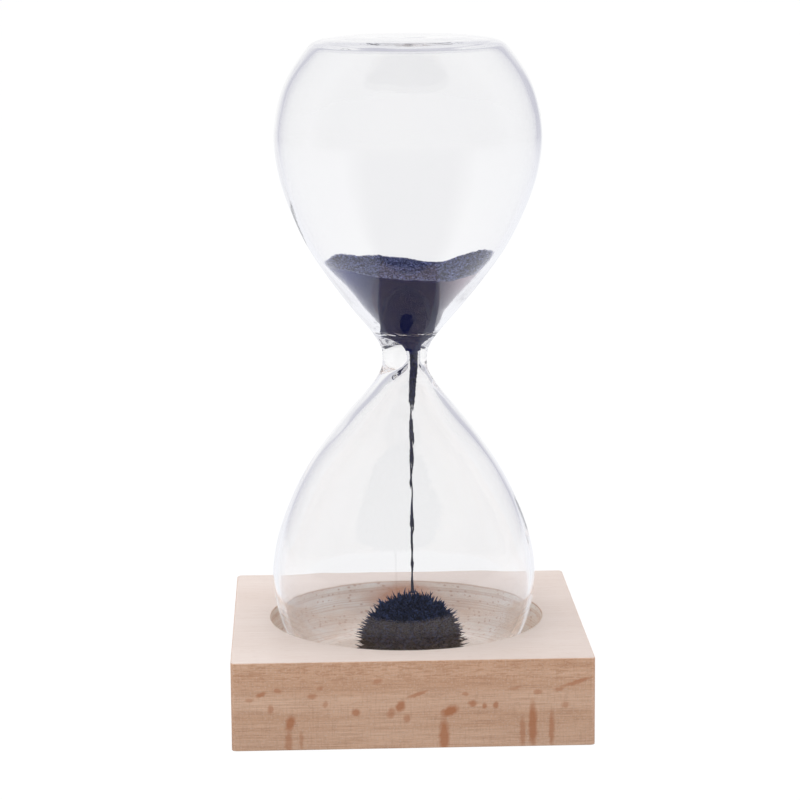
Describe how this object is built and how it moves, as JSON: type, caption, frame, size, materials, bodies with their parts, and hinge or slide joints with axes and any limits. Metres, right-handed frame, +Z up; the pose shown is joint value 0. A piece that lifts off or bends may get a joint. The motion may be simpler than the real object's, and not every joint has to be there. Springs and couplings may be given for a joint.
{
  "type": "magnetic hourglass",
  "caption": "Desk sculpture: a clear glass double bulb of iron filings stands loose in a round recess of a square beech block; a magnet in the block draws the fallen filings into a spiky dome.",
  "frame": {"origin": "middle of the wooden block's underside, on the surface it stands on", "axes": "+Z up along the glass, -Y towards the block's front face, +X to the right seen from the front"},
  "size_m": [0.08, 0.08, 0.1536],
  "materials": {
    "beech": "fine sanded beech, unvarnished",
    "cover_beech": "thin sanded beech disc",
    "ferrite": "dark grey sintered ferrite",
    "clear_glass": "clear blown glass, polished",
    "stopper": "clear fused glass seal, slightly cloudy",
    "iron_filings": "blue-black iron grains, matt with glints"
  },
  "bodies": {
    "base": {"wooden_base": "beech", "magnet_disc": "ferrite", "magnet_cover": "cover_beech"},
    "pile": {"filings_pile": "iron_filings"},
    "vessel": {"glass_vessel": "clear_glass", "fill_plug": "stopper", "upper_filings": "iron_filings", "falling_stream": "iron_filings"}
  },
  "joints": [
    {"name": "vessel_lift", "type": "slide", "parent": "base", "child": "pile", "axis": [0, 0, 1], "range_m": [0, 0.05]},
    {"name": "vessel_spin", "type": "hinge", "parent": "pile", "child": "vessel", "pos_m": [-0.00045, 0, 0.0803], "axis": [0, 0, 1], "continuous": true}
  ]
}
